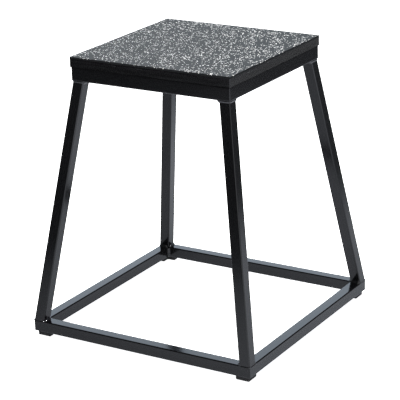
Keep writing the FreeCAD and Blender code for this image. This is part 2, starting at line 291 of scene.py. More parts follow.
# %% One kind of chip
CHIP_CORE = 0.195
CHIP_RIM = 0.218
CHIP_KINDS = (
    # turn in degrees, squeeze of the coordinates along the chip, cells per metre, share of cells with a chip
    (20.0, 0.80, 192.0, 0.117),
    (75.0, 0.75, 232.0, 0.137),
    (140.0, 0.80, 290.0, 0.156),
)


def chip_layer(place, turn, squeeze, cells, share):
    """One kind of chip: returns where it is, from 0 to 1, and how light it is."""
    tree = place.socket.id_data
    turning = {"Vector": place, "Rotation": (0.0, 0.0, math.radians(turn)), "Scale": (squeeze, 1.0, 0.0)}
    turned = Wire.node(tree, "ShaderNodeMapping", turning, vector_type="POINT")
    settings = {"voronoi_dimensions": "2D", "feature": "F1"}
    cell = {"Vector": turned, "Scale": cells, "Randomness": 1.0}
    distance = Wire.node(tree, "ShaderNodeTexVoronoi", cell, "Distance", **settings)
    chance = Wire.node(tree, "ShaderNodeTexVoronoi", cell, "Color", **settings)
    draw = Wire.node(tree, "ShaderNodeSeparateColor", {"Color": chance}, "Red")
    tone = Wire.node(tree, "ShaderNodeSeparateColor", {"Color": chance}, "Green")
    inside = ramp(distance, CHIP_CORE, CHIP_RIM, 1.0, 0.0)
    picked = Wire.math("LESS_THAN", draw, share)
    return inside * picked, tone


print("kinds of chip:", len(CHIP_KINDS))

# %% Flecked rubber
MAT_DARK = (0.0175, 0.0188, 0.0190, 1.0)
MAT_LIGHT = (0.0235, 0.0254, 0.0262, 1.0)
MAT_SIDE = (0.006, 0.0062, 0.007, 1.0)
CHIP_DULL = (0.68, 0.69, 0.69, 1.0)
CHIP_BRIGHT = (0.95, 0.95, 0.93, 1.0)
CHIP_BEND_GRAIN = 620
CHIP_BEND = 2.4 * MM
CHIP_RISE = 0.6
FLECKS_BEGIN = 0.8 * MM
FLECKS_FULL = 0.2 * MM
MAT_BLOT_GRAIN = 22
CRUMB_GRAIN = 900
CRUMB_DEPTH = 0.10 * MM
MAT_ROUGHNESS = 0.52
CRUMB_ROUGHNESS = 0.16
MAT_SPECULAR = 0.18


def rubber_finish(name, top):
    """Black rubber crumb with chips. The chips begin a little below the top and are full near it."""
    material, shader, place = new_finish(name)
    wander = noise(place, CHIP_BEND_GRAIN, detail=2.0, output="Color")
    bent = vector_math("ADD", place, scaled(wander, CHIP_BEND))
    on_top = ramp(coordinate(place, "Z"), top - FLECKS_BEGIN, top - FLECKS_FULL)
    blot = noise(place, MAT_BLOT_GRAIN, detail=4.0)
    crumb = noise(place, CRUMB_GRAIN, detail=2.0)
    colour = mix_colour(on_top, MAT_SIDE, mix_colour(blot, MAT_DARK, MAT_LIGHT))
    chips = 0.0
    for kind in CHIP_KINDS:
        inside, tone = chip_layer(bent, *kind)
        colour = mix_colour(inside * on_top, colour, mix_colour(tone, CHIP_DULL, CHIP_BRIGHT))
        chips = Wire.math("MAXIMUM", chips, inside)
    set_shader(
        shader,
        Base_Color=colour,
        Roughness=MAT_ROUGHNESS + CRUMB_ROUGHNESS * crumb,
        Normal=bump(crumb + CHIP_RISE * chips, CRUMB_DEPTH),
        Specular_IOR_Level=MAT_SPECULAR,
    )
    return material


mat_low, mat_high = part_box("deck_mat")
flecked_rubber = rubber_finish("flecked_rubber", mat_high.z)
print("finish:", flecked_rubber.name, "with", len(flecked_rubber.node_tree.nodes), "nodes")

# %% [markdown]
# ## Moulded rubber and zinc
# The feet are moulded from dull black rubber with a fine leather grain, and a little dust lies on them near
# the floor. The hidden screws are zinc plated: bright metal, with a cloudy roughness and a hint of yellow
# where the plating is thick. On the zinc one noise drives both colour and roughness, because a cloud in the
# plating changes the two together.

# %% Foot rubber
FOOT_BLACK = (0.0060, 0.0060, 0.0064, 1.0)
FOOT_DUST = (0.030, 0.029, 0.027, 1.0)
FOOT_GRAIN = 1100
FOOT_GRAIN_DEPTH = 0.06 * MM
FOOT_ROUGHNESS = 0.62
GRAIN_ROUGHNESS = 0.2
FOOT_INDEX = 1.5
DUST_HEIGHT = 3.0 * MM
DUST_GRAIN = 120
DUST_SHARE = 0.5


def foot_finish(name):
    """Dull rubber, with dust near the floor."""
    material, shader, place = new_finish(name)
    grain = noise(place, FOOT_GRAIN, detail=2.0)
    near_floor = ramp(coordinate(place, "Z"), 0.0, DUST_HEIGHT, 1.0, 0.0)
    dust = near_floor * noise(place, DUST_GRAIN, detail=3.0)
    set_shader(
        shader,
        Base_Color=mix_colour(dust * DUST_SHARE, FOOT_BLACK, FOOT_DUST),
        Roughness=FOOT_ROUGHNESS + GRAIN_ROUGHNESS * grain,
        Normal=bump(grain, FOOT_GRAIN_DEPTH),
        IOR=FOOT_INDEX,
    )
    return material


foot_rubber = foot_finish("foot_rubber")
print("finish:", foot_rubber.name)

# %% Zinc
ZINC_BLUE = (0.50, 0.52, 0.55, 1.0)
ZINC_YELLOW = (0.66, 0.63, 0.54, 1.0)
ZINC_GRAIN = 240
ZINC_ROUGHNESS = 0.22
CLOUD_ROUGHNESS = 0.22


def zinc_finish(name):
    """Bright plated steel with soft clouds."""
    material, shader, place = new_finish(name)
    cloud = noise(place, ZINC_GRAIN, detail=3.0)
    set_shader(
        shader,
        Base_Color=mix_colour(cloud, ZINC_BLUE, ZINC_YELLOW),
        Metallic=1.0,
        Roughness=ZINC_ROUGHNESS + CLOUD_ROUGHNESS * cloud,
    )
    return material


zinc_steel = zinc_finish("zinc_steel")
print("finish:", zinc_steel.name)

# %% [markdown]
# ## The tubes and the board
# Square tube with rounded edges is already right in the solids, mitres, leaning legs and all, so these nodes
# stay and only take their finish. Remaking them would risk a second, slightly different frame for no gain in
# looks.

# %% Dress the solids that stay
TUBE_NAMES = ("top_rail_", "base_rail_", "leg_front_", "leg_rear_")
tubes = [node for name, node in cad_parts.items() if name.startswith(TUBE_NAMES)]
for tube in tubes:
    tube.material_slots[0].material = powder_coat
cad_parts["deck_board"].material_slots[0].material = painted_plywood
print("dressed:", len(tubes), "tubes and the board")

# %% [markdown]
# ## From a mesh to a piece
# Each new piece is a plain mesh whose place is in its points, on an object that sits at the origin. It rides
# on the one body that this object has, takes the finish that it is given, and stands for the solid that it
# replaces, which is hidden.

# %% Piece helpers
CREASE = math.radians(50)


def add_piece(name, mesh, finish, node):
    """Makes a mesh a piece of the model, in place of a node."""
    mesh.materials.clear()
    mesh.materials.append(finish)
    piece = bpy.data.objects.new(name, mesh)
    bpy.context.scene.collection.objects.link(piece)
    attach(piece, "root")
    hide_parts(node)
    print("piece:", name, "with", len(mesh.polygons), "faces, for", node)


def smooth_mesh(mesh, angle):
    """Shades a mesh smooth, but for edges that turn by more than the angle."""
    mesh.shade_smooth()
    mesh.set_sharp_from_angle(angle=angle)


def join_meshes(name, *meshes):
    """One smooth mesh with the faces of several. The several go."""
    shell = bmesh.new()
    for mesh in meshes:
        shell.from_mesh(mesh)
        bpy.data.meshes.remove(mesh)
    joined = bpy.data.meshes.new(name)
    shell.to_mesh(joined)
    shell.free()
    smooth_mesh(joined, CREASE)
    return joined


def settle(holder):
    """The mesh of an object with its modifiers done. The object itself goes."""
    graph = bpy.context.evaluated_depsgraph_get()
    mesh = bpy.data.meshes.new_from_object(holder.evaluated_get(graph))
    bpy.data.objects.remove(holder)
    return mesh


print("piece helpers: ready")

# %% [markdown]
# ## The mat
# The rubber sheet has the board's outline and a rounded upper rim. A slab with a Bevel modifier would do, but
# here the rim is one profile carried round a square with round corners, so the rim's radius and the outline's
# stay apart. One more ring just inside the rim keeps the flat top flat when it is shaded smooth.

# %% Rings and the skin over them
CORNER_STEPS = 8
QUARTER = math.pi / 2


def square_ring(half, corner, z):
    """Points of a square with round corners, all at one height."""
    ring = []
    reach = half - corner
    for side in range(4):
        spin = Matrix.Rotation(side * QUARTER, 3, "Z")
        for step in range(CORNER_STEPS + 1):
            angle = QUARTER * step / CORNER_STEPS
            point = Vector((reach + corner * math.cos(angle), reach + corner * math.sin(angle), z))
            ring.append(spin @ point)
    return ring


def rings_to_mesh(name, rings):
    """A closed skin over rings of points, from the lowest ring to the top one."""
    count = len(rings[0])
    points = [point for ring in rings for point in ring]
    faces = [tuple(reversed(range(count)))]
    for low in range(0, len(points) - count, count):
        high = low + count
        for index in range(count):
            following = (index + 1) % count
            faces.append((low + index, low + following, high + following, high + index))
    faces.append(tuple(range(len(points) - count, len(points))))
    mesh = bpy.data.meshes.new(name)
    mesh.from_pydata(points, [], faces)
    smooth_mesh(mesh, CREASE)
    return mesh


print("points in a ring:", 4 * (CORNER_STEPS + 1))

# %% The mat
MAT_CORNER = 2.0 * MM
MAT_RIM = 1.4 * MM
RIM_STEPS = 5
FLAT_MARGIN = 0.4 * MM
half_mat = mat_high.x
mat_rings = [square_ring(half_mat, MAT_CORNER, z) for z in (mat_low.z, mat_high.z - MAT_RIM)]
for step in range(1, RIM_STEPS + 1):
    angle = QUARTER * step / RIM_STEPS
    inset = MAT_RIM * (1 - math.cos(angle))
    level = mat_high.z - MAT_RIM * (1 - math.sin(angle))
    mat_rings.append(square_ring(half_mat - inset, MAT_CORNER - inset, level))
flat_inset = MAT_RIM + FLAT_MARGIN
mat_rings.append(square_ring(half_mat - flat_inset, MAT_CORNER - flat_inset, mat_high.z))
mat_mesh = rings_to_mesh("mat_sheet", mat_rings)
add_piece("mat_sheet", mat_mesh, flecked_rubber, "deck_mat")

# %% [markdown]
# ## The feet
# Each foot is an L of moulded rubber under a corner of the base. The solid has the L, the two sunk holes and
# straight bevels. Moulded rubber has no straight bevels, so a copy of the solid is cleaned and its edges are
# rounded. A solid comes as loose triangles: they are merged first, and flat areas are made whole, or the
# bevel would follow each triangle.

# %% The feet
CORNERS = ("front_left", "front_right", "rear_right", "rear_left")
MERGE_WITHIN = 0.005 * MM
FLAT_WITHIN = math.radians(1)
EDGE_ANGLE = math.radians(25)
EDGE_ROUND = 0.55 * MM
EDGE_STEPS = 3


def rounded_copy(node, name):
    """A copy of a solid's mesh, merged, with rounded edges."""
    shell = bmesh.new()
    shell.from_mesh(node.data)
    bmesh.ops.remove_doubles(shell, verts=shell.verts, dist=MERGE_WITHIN)
    bmesh.ops.dissolve_limit(shell, angle_limit=FLAT_WITHIN, verts=shell.verts, edges=shell.edges)
    mesh = bpy.data.meshes.new(name)
    shell.to_mesh(mesh)
    shell.free()
    holder = bpy.data.objects.new(name, mesh)
    bpy.context.scene.collection.objects.link(holder)
    rounding = holder.modifiers.new("rounding", "BEVEL")
    rounding.width = EDGE_ROUND
    rounding.segments = EDGE_STEPS
    rounding.limit_method = "ANGLE"
    rounding.angle_limit = EDGE_ANGLE
    rounding.harden_normals = True
    rounded = settle(holder)
    smooth_mesh(rounded, EDGE_ANGLE)
    return rounded


for corner in CORNERS:
    foot_name = "foot_" + corner
    foot_mesh = rounded_copy(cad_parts[foot_name], "moulded_" + foot_name)
    add_piece("moulded_" + foot_name, foot_mesh, foot_rubber, foot_name)

# %% [markdown]
# ## Trees that repeat a shape on points
# Welds, screws and washers come in sets. A geometry tree makes one of the set and puts it on every point of a
# small mesh, turned as the point says. Its sizes are named inputs, so one tree serves several sets. The
# result is realised into plain faces, because an exported model has no instances.

# %% Tree helpers
def new_tree(name, *sizes):
    """A geometry tree: returns it and its inputs, which are a mesh of points, the sizes and the finish."""
    tree = bpy.data.node_groups.new(name, "GeometryNodeTree")
    tree.interface.new_socket("Points", in_out="INPUT", socket_type="NodeSocketGeometry")
    for size in sizes:
        tree.interface.new_socket(size, in_out="INPUT", socket_type="NodeSocketFloat")
    tree.interface.new_socket("Finish", in_out="INPUT", socket_type="NodeSocketMaterial")
    tree.interface.new_socket("Mesh", in_out="OUTPUT", socket_type="NodeSocketGeometry")
    entry = tree.nodes.new("NodeGroupInput")
    return tree, {socket.name: Wire(socket) for socket in entry.outputs if socket.name}


def close_tree(tree, given, shape):
    """Puts the shape on the points, makes it plain faces, and gives it its finish."""
    turn = Wire.node(tree, "GeometryNodeInputNamedAttribute", {"Name": "turn"}, data_type="FLOAT_VECTOR")
    rotation = Wire.node(tree, "FunctionNodeEulerToRotation", {"Euler": turn})
    inputs = {"Points": given["Points"], "Instance": shape, "Rotation": rotation}
    copies = Wire.node(tree, "GeometryNodeInstanceOnPoints", inputs)
    plain = Wire.node(tree, "GeometryNodeRealizeInstances", {"Geometry": copies})
    finished = Wire.node(tree, "GeometryNodeSetMaterial", {"Geometry": plain, "Material": given["Finish"]})
    leave = tree.nodes.new("NodeGroupOutput")
    tree.links.new(finished.socket, leave.inputs["Mesh"])
    print("tree:", tree.name, "with", len(tree.nodes), "nodes")


def run_tree(tree, places, finish, **sizes):
    """A plain mesh of the tree's shape at each place, which is a point and a turning matrix."""
    points = bpy.data.meshes.new("points")
    points.from_pydata([point for point, turn in places], [], [])
    turns = points.attributes.new("turn", "FLOAT_VECTOR", "POINT")
    for index, (point, turn) in enumerate(places):
        turns.data[index].vector = turn.to_euler()
    holder = bpy.data.objects.new("points", points)
    bpy.context.scene.collection.objects.link(holder)
    modifier = holder.modifiers.new("tree", "NODES")
    modifier.node_group = tree
    values = {**sizes, "Finish": finish}
    for socket in tree.interface.items_tree:
        if socket.in_out == "INPUT" and socket.name in values:
            modifier[socket.identifier] = values[socket.name]
    return settle(holder)


def turn_to(along, first, second):
    """The turning matrix that takes x, y and z to three directions."""
    return Matrix((along, first, second)).transposed()


print("tree helpers: ready")

# %% [markdown]
# ## Rippled weld beads
# Where two plates meet, the welder lays a bead of molten steel in short steps, and each step freezes as a
# small crescent. Under paint the bead still shows as a row of ripples with rounded ends. The tree sweeps a
# wedge along a straight seam: the wedge's point sits in the corner, its sides lie on the two plates, and its
# face is between flat and round, as the crown says. The ripple is a change of the wedge's size along the
# seam. A bump texture would not change the outline where the bead is seen against the floor, so the ripples
# are real faces.

# %% The wedge and its sweep
WEDGE_POINTS = 9
LEAST_DEPTH = 0.001 * MM


def wedge_section(tree, given, start):
    """A wedge with its point at the seam. It opens from the start angle, and its face is flat to round."""
    inputs = {
        "Resolution": WEDGE_POINTS,
        "Radius": given["Size"],
        "Start Angle": start,
        "Sweep Angle": given["Sweep"],
        "Connect Center": True,
    }
    wedge = Wire.node(tree, "GeometryNodeCurveArc", inputs, mode="RADIUS")
    half_sweep = given["Sweep"] * 0.5
    middle_angle = half_sweep + start
    middle = vector(tree, Wire.math("COSINE", middle_angle), Wire.math("SINE", middle_angle))
    point = Wire.node(tree, "GeometryNodeInputPosition")
    depth = Wire.math("MAXIMUM", vector_math("DOT_PRODUCT", point, middle, "Value"), LEAST_DEPTH)
    flat = given["Size"] * Wire.math("COSINE", half_sweep) / depth
    share = flat + (1 - flat) * given["Crown"]
    crowned = {"Geometry": wedge, "Position": scaled(point, share)}
    return Wire.node(tree, "GeometryNodeSetPosition", crowned)


def sweep_bead(tree, seam, wedge, scale):
    """The wedge carried along the seam, smaller and larger as the scale says."""
    inputs = {"Curve": seam, "Profile Curve": wedge, "Scale": scale, "Fill Caps": True}
    swept = Wire.node(tree, "GeometryNodeCurveToMesh", inputs)
    return Wire.node(tree, "GeometryNodeSetShadeSmooth", {"Geometry": swept})


def ripple_scale(phase, depth):
    """A size that dips by the depth between one ripple and the next. Each ripple is half a turn of phase."""
    wave = Wire.math("ABSOLUTE", Wire.math("SINE", phase))
    return 1 - depth + depth * wave


print("points on a wedge's face:", WEDGE_POINTS)

# %% The bead tree
ROWS_PER_RIPPLE = 6
LEAST_SCALE = 0.05
bead_tree, bead = new_tree("rippled_bead", "Length", "Size", "Sweep", "Crown", "Ripple", "Depth", "Taper")
bead_ends = {
    "Start": vector(bead_tree, x=bead["Length"] * -0.5),
    "End": vector(bead_tree, x=bead["Length"] * 0.5),
}
bead_line = Wire.node(bead_tree, "GeometryNodeCurvePrimitiveLine", bead_ends)
bead_rows = bead["Length"] / bead["Ripple"] * ROWS_PER_RIPPLE
bead_seam = Wire.node(bead_tree, "GeometryNodeResampleCurve", {"Curve": bead_line, "Count": bead_rows})
travelled = Wire.node(bead_tree, "GeometryNodeSplineParameter", output="Length")
to_end = Wire.math("MINIMUM", travelled, bead["Length"] - travelled)
in_end = Wire.math("MINIMUM", to_end / bead["Taper"], 1.0)
rounded_end = (in_end * (2 - in_end)) ** 0.5
bead_ripple = ripple_scale(travelled / bead["Ripple"] * math.pi, bead["Depth"])
bead_wedge = wedge_section(bead_tree, bead, math.pi)
bead_shape = sweep_bead(bead_tree, bead_seam, bead_wedge, rounded_end * bead_ripple + LEAST_SCALE)
close_tree(bead_tree, bead, bead_shape)

# %% [markdown]
# ## A collar of weld
# At its top each leg has a slim bead all the way round, which fills the groove under the rails' rounded edge.
# Four straight beads would leave notches at the leg's corners, so this tree sweeps the same wedge round a
# closed square with round corners. The wedge is made slimmer sideways, because a dressed bead stands out
# less than it reaches down.

# %% The collar tree
COLLAR_RIPPLES = 38
ROWS_PER_COLLAR_RIPPLE = 5
COLLAR_ROWS = COLLAR_RIPPLES * ROWS_PER_COLLAR_RIPPLE
COLLAR_CORNER_POINTS = 4
collar_tree, collar = new_tree("weld_collar", "Side", "Corner", "Size", "Slimness", "Sweep", "Crown", "Depth")
square = {"Width": collar["Side"], "Height": collar["Side"]}
loop = Wire.node(collar_tree, "GeometryNodeCurvePrimitiveQuadrilateral", square, mode="RECTANGLE")
fillet = {"Curve": loop, "Radius": collar["Corner"], "Count": COLLAR_CORNER_POINTS}
loop = Wire.node(collar_tree, "GeometryNodeFilletCurve", fillet, mode="POLY")
loop = Wire.node(collar_tree, "GeometryNodeResampleCurve", {"Curve": loop, "Count": COLLAR_ROWS})
loop = Wire.node(collar_tree, "GeometryNodeSetCurveNormal", {"Curve": loop}, mode="Z_UP")
way_round = Wire.node(collar_tree, "GeometryNodeSplineParameter", output="Factor")
collar_ripple = ripple_scale(way_round * (COLLAR_RIPPLES * math.pi), collar["Depth"])
slimming = {
    "Geometry": wedge_section(collar_tree, collar, 0.0),
    "Scale": vector(collar_tree, collar["Slimness"], 1.0, 1.0),
}
collar_wedge = Wire.node(collar_tree, "GeometryNodeTransform", slimming)
close_tree(collar_tree, collar, sweep_bead(collar_tree, loop, collar_wedge, collar_ripple))

# %% [markdown]
# ## Where the beads lie
# Each leg is welded at both ends. At the base it covers the corner of the frame, so the beads lie on its two
# inner sides, and its other corners have a drop of weld each. At the top the slim collar goes round it, with
# thicker beads on the two inner sides, flat under the rails. The frames' inner corners have upright beads,
# and the top frame's outer corners a slim dressed seam. Directions are worked out from the leg's lean, so the
# wedge's sides lie on the steel.

# %% Where the legs meet the frames
CORNER_SIGNS = [(x, y) for x in (-1, 1) for y in (-1, 1)]
UP = Vector((0, 0, 1))
LEG_SIDE = 25.0 * MM
LEG_CORNER = 2.5 * MM
ROOT_SINK = 0.3 * MM
half_leg = LEG_SIDE / 2
leg_low, leg_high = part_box("leg_front_right")
base_reach = leg_high.x - half_leg
top_reach = leg_low.x + half_leg
lean = math.atan((base_reach - top_reach) / (leg_high.z - leg_low.z))


def leg_seams(reach, level, up):
    """Place and turn of the seams on the two inner faces of all four legs. They open upward or downward."""
    seams = []
    for x, y in CORNER_SIGNS:
        for inward in (Vector((-x, 0, 0)), Vector((0, -y, 0))):
            place = Vector((x * reach, y * reach, level)) + inward * (half_leg - ROOT_SINK)
            seams.append((place, turn_to(inward.cross(up), inward, up)))
    return seams


print("legs lean", round(math.degrees(lean), 2), "degrees each way")

# %% Beads at the legs' bases
TACK_SINK = 2.4 * MM
TACK_DROP = 1.0 * MM


def corner_tacks(reach, level):
    """Place and turn of the drops of weld at all corners of the four legs but the inner ones."""
    tacks = []
    for x, y in CORNER_SIGNS:
        middle = Vector((x * reach, y * reach, level - TACK_DROP))
        for side_x, side_y in ((x, y), (x, -y), (-x, y)):
            outward = Vector((side_x, side_y, 0))
            out = outward.normalized()
            tacks.append((middle + outward * half_leg - out * TACK_SINK, turn_to(out.cross(UP), out, UP)))
    return tacks


base_tacks = run_tree(
    bead_tree,
    corner_tacks(base_reach, leg_low.z),
    coated_weld,
    Length=5.0 * MM,
    Size=3.0 * MM,
    Sweep=QUARTER,
    Crown=1.0,
    Ripple=2.0 * MM,
    Depth=0.0,
    Taper=2.5 * MM,
)
base_beads = run_tree(
    bead_tree,
    leg_seams(base_reach, leg_low.z, UP),
    coated_weld,
    Length=21.5 * MM,
    Size=5.5 * MM,
    Sweep=QUARTER - lean,
    Crown=0.75,
    Ripple=3.0 * MM,
    Depth=0.07,
    Taper=4.0 * MM,
)
leg_base_mesh = join_meshes("leg_base_beads", base_beads, base_tacks)
add_piece("leg_base_beads", leg_base_mesh, coated_weld, "leg_base_welds")

# %% Beads at the legs' tops
COLLAR_DROP = 0.3 * MM
UNTURNED = Matrix.Identity(3)
collar_level = leg_high.z - COLLAR_DROP
inner_beads = run_tree(
    bead_tree,
    leg_seams(top_reach, leg_high.z, -UP),
    coated_weld,
    Length=26.0 * MM,
    Size=5.0 * MM,
    Sweep=QUARTER + lean,
    Crown=0.45,
    Ripple=2.6 * MM,
    Depth=0.14,
    Taper=2.0 * MM,
)
collars = run_tree(
    collar_tree,
    [(Vector((x * top_reach, y * top_reach, collar_level)), UNTURNED) for x, y in CORNER_SIGNS],
    coated_weld,
    Side=LEG_SIDE - 2 * ROOT_SINK,
    Corner=LEG_CORNER - ROOT_SINK,
    Size=5.6 * MM,
    Slimness=0.42,
    Sweep=QUARTER,
    Crown=0.1,
    Depth=0.08,
)
leg_top_mesh = join_meshes("leg_top_beads", inner_beads, collars)
add_piece("leg_top_beads", leg_top_mesh, coated_weld, "leg_top_welds")

# %% Beads in the base frame's corners
BASE_TUBE = 25.0 * MM
SEAM_END = 1.5 * MM
CORNER_BEAD = {"Sweep": QUARTER, "Crown": 0.5, "Ripple": 2.8 * MM, "Depth": 0.14, "Taper": 2.5 * MM}
base_low, base_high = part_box("base_rail_front")
base_middle = (base_low.z + base_high.z) / 2


def corner_seams(reach, level, side):
    """Place and turn of upright seams at a frame's corners, open to the middle (-1) or to the outside (1)."""
    seams = []
    for x, y in CORNER_SIGNS:
        first = Vector((side * x, 0, 0))
        second = Vector((0, side * y, 0))
        place = Vector((x * reach, y * reach, level))
        seams.append((place, turn_to(first.cross(second), first, second)))
    return seams


base_corners = run_tree(
    bead_tree,
    corner_seams(base_high.x - BASE_TUBE, base_middle, -1),
    coated_weld,
    Length=BASE_TUBE - SEAM_END,
    Size=4.7 * MM,
    **CORNER_BEAD,
)
base_corner_mesh = join_meshes("base_corner_beads", base_corners)
add_piece("base_corner_beads", base_corner_mesh, coated_weld, "base_corner_welds")

# %% Beads and dressed seams on the top frame's corners
TOP_TUBE = 30.0 * MM
DRESSED_SINK = 1.5 * MM
DRESSED_SWEEP = math.radians(170)
top_low, top_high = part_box("top_rail_front")
top_middle = (top_low.z + top_high.z) / 2
top_corners = run_tree(
    bead_tree,
    corner_seams(top_high.x - TOP_TUBE, top_middle, -1),
    coated_weld,
    Length=TOP_TUBE - SEAM_END,
    Size=5.5 * MM,
    **CORNER_BEAD,
)
dressed_turn = Matrix.Rotation((QUARTER - DRESSED_SWEEP) / 2, 3, "X")
outer_seams = corner_seams(top_high.x - DRESSED_SINK, top_middle, 1)
dressed_seams = run_tree(
    bead_tree,
    [(place, turn @ dressed_turn) for place, turn in outer_seams],
    coated_weld,
    Length=TOP_TUBE - 4 * SEAM_END,
    Size=1.75 * MM,
    Sweep=DRESSED_SWEEP,
    Crown=1.0,
    Ripple=5.0 * MM,
    Depth=0.22,
    Taper=1.0 * MM,
)
top_corner_mesh = join_meshes("top_corner_beads", top_corners, dressed_seams)
add_piece("top_corner_beads", top_corner_mesh, coated_weld, "top_corner_welds")

# %% [markdown]
# ## Screws and washers
# The board is held by four hexagon-head screws from inside the top rails, each on a washer, and every foot by
# two smaller ones that are sunk in the rubber. They hardly show, but someone who takes the model apart will
# meet them. The tree builds the head as one six-sided prism whose lowest row of points is drawn in, and a
# shank whose points are pushed out along a helix, so the thread is real. A ridge swept along a helix curve
# would be a second solid and would not merge with the shank.

# %% The screw tree
SHANK_SIDES = 18
ROWS_PER_PITCH = 6
HEAD_SIDES = 6
HEAD_ROWS = 4
CHAMFER_RADIUS = 0.84
TIP_LENGTH = 3.0 * MM
TIP_RADIUS = 0.4
screw_tree, screw = new_tree("hexagon_screw", "Flats", "Head", "Shank", "Length", "Pitch", "Thread")
point = Wire.node(screw_tree, "GeometryNodeInputPosition")
across, deep, height = (coordinate(point, axis) for axis in "XYZ")


def prism(sides, radius, depth, rows):
    """A closed prism about z, which stands on zero."""
    sizes = {"Vertices": sides, "Radius Bottom": radius, "Radius Top": radius, "Depth": depth}
    return Wire.node(screw_tree, "GeometryNodeMeshCone", {**sizes, "Side Segments": rows})


def swell(shape, factor):
    """The shape, with its points moved away from the z axis or towards it."""
    moved = {"Geometry": shape, "Position": vector(screw_tree, across * factor, deep * factor, height)}
    return Wire.node(screw_tree, "GeometryNodeSetPosition", moved)


to_corner = screw["Flats"] / math.sqrt(3)
lowest_row = Wire.math("LESS_THAN", height, screw["Head"] / (2 * HEAD_ROWS))
head = prism(HEAD_SIDES, to_corner, screw["Head"], HEAD_ROWS)
head = swell(head, 1 - lowest_row * (1 - CHAMFER_RADIUS))
hang = vector(screw_tree, z=screw["Head"] * -1.0)
head = Wire.node(screw_tree, "GeometryNodeTransform", {"Geometry": head, "Translation": hang})

core = screw["Shank"] * 0.5 - screw["Thread"]
shank = prism(SHANK_SIDES, core, screw["Length"], screw["Length"] / screw["Pitch"] * ROWS_PER_PITCH)
helix = height / screw["Pitch"] - Wire.math("ARCTAN2", deep, across) / (2 * math.pi)
crest = Wire.math("PINGPONG", helix, 0.5) * 2
to_tip = screw["Length"] - height
taper = Wire.math("MINIMUM", to_tip / TIP_LENGTH * (1 - TIP_RADIUS) + TIP_RADIUS, 1.0)
shank = swell(shank, (1 + crest * screw["Thread"] / core) * taper)

head_and_shank = screw_tree.nodes.new("GeometryNodeJoinGeometry")
for shape in (head, shank):
    screw_tree.links.new(shape.socket, head_and_shank.inputs[0])
close_tree(screw_tree, screw, Wire(head_and_shank.outputs[0]))

# %% Deck screws
DECK_HEAD = 3.5 * MM
WASHER_SIZE = 10.0 * MM
deck_low, deck_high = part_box("deck_screws")
washer_low, washer_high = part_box("deck_washers")
deck_line = washer_high.x - WASHER_SIZE / 2
deck_seat = deck_low.z + DECK_HEAD
deck_places = []
for side in range(4):
    place = Matrix.Rotation(side * QUARTER, 3, "Z") @ Vector((deck_line, 0, deck_seat))
    flat_outward = Matrix.Rotation((side + 1) * QUARTER, 3, "Z")
    deck_places.append((place, flat_outward))
deck_screws = run_tree(
    screw_tree,
    deck_places,
    zinc_steel,
    Flats=8.0 * MM,
    Head=DECK_HEAD,
    Shank=5.0 * MM,
    Length=deck_high.z - deck_seat,
    Pitch=1.6 * MM,
    Thread=0.5 * MM,
)
deck_screw_mesh = join_meshes("threaded_deck_screws", deck_screws)
add_piece("threaded_deck_screws", deck_screw_mesh, zinc_steel, "deck_screws")

# %% Foot screws
FOOT_FLATS = 6.0 * MM
FOOT_HEAD = 2.5 * MM
FOOT_SPACING = 15.0 * MM
foot_low, foot_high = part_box("foot_screws")
foot_line = foot_high.x - FOOT_FLATS / math.sqrt(3)
foot_reach = foot_line - FOOT_SPACING
foot_seat = foot_low.z + FOOT_HEAD
foot_points = []
for x, y in CORNER_SIGNS:
    for along_x, along_y in ((foot_line, foot_reach), (foot_reach, foot_line)):
        foot_points.append(Vector((x * along_x, y * along_y, foot_seat)))
foot_screws = run_tree(
    screw_tree,
    [(place, Matrix.Rotation(count * QUARTER, 3, "Z")) for count, place in enumerate(foot_points)],
    zinc_steel,
    Flats=FOOT_FLATS,
    Head=FOOT_HEAD,
    Shank=4.0 * MM,
    Length=foot_high.z - foot_seat,
    Pitch=1.3 * MM,
    Thread=0.4 * MM,
)
foot_screw_mesh = join_meshes("threaded_foot_screws", foot_screws)
add_piece("threaded_foot_screws", foot_screw_mesh, zinc_steel, "foot_screws")

# %% Washers
WASHER_HOLE = 5.6 * MM
WASHER_SIDES = 36
WASHER_EDGE_POINTS = 2
washer_tree, washer = new_tree("plain_washer", "Radius", "Width", "Thickness", "Edge")
circle = {"Resolution": WASHER_SIDES, "Radius": washer["Radius"]}
hoop = Wire.node(washer_tree, "GeometryNodeCurvePrimitiveCircle", circle, mode="RADIUS")
oblong = {"Width": washer["Width"], "Height": washer["Thickness"]}
profile = Wire.node(washer_tree, "GeometryNodeCurvePrimitiveQuadrilateral", oblong, mode="RECTANGLE")
fillet = {"Curve": profile, "Radius": washer["Edge"], "Count": WASHER_EDGE_POINTS}
profile = Wire.node(washer_tree, "GeometryNodeFilletCurve", fillet, mode="POLY")
washer_shape = Wire.node(washer_tree, "GeometryNodeCurveToMesh", {"Curve": hoop, "Profile Curve": profile})
close_tree(washer_tree, washer, washer_shape)
washer_level = (washer_low.z + washer_high.z) / 2
washers = run_tree(
    washer_tree,
    [(Vector((place.x, place.y, washer_level)), UNTURNED) for place, turn in deck_places],
    zinc_steel,
    Radius=(WASHER_SIZE + WASHER_HOLE) / 4,
    Width=(WASHER_SIZE - WASHER_HOLE) / 2,
    Thickness=washer_high.z - washer_low.z,
    Edge=0.25 * MM,
)
washer_mesh = join_meshes("edged_deck_washers", washers)
add_piece("edged_deck_washers", washer_mesh, zinc_steel, "deck_washers")
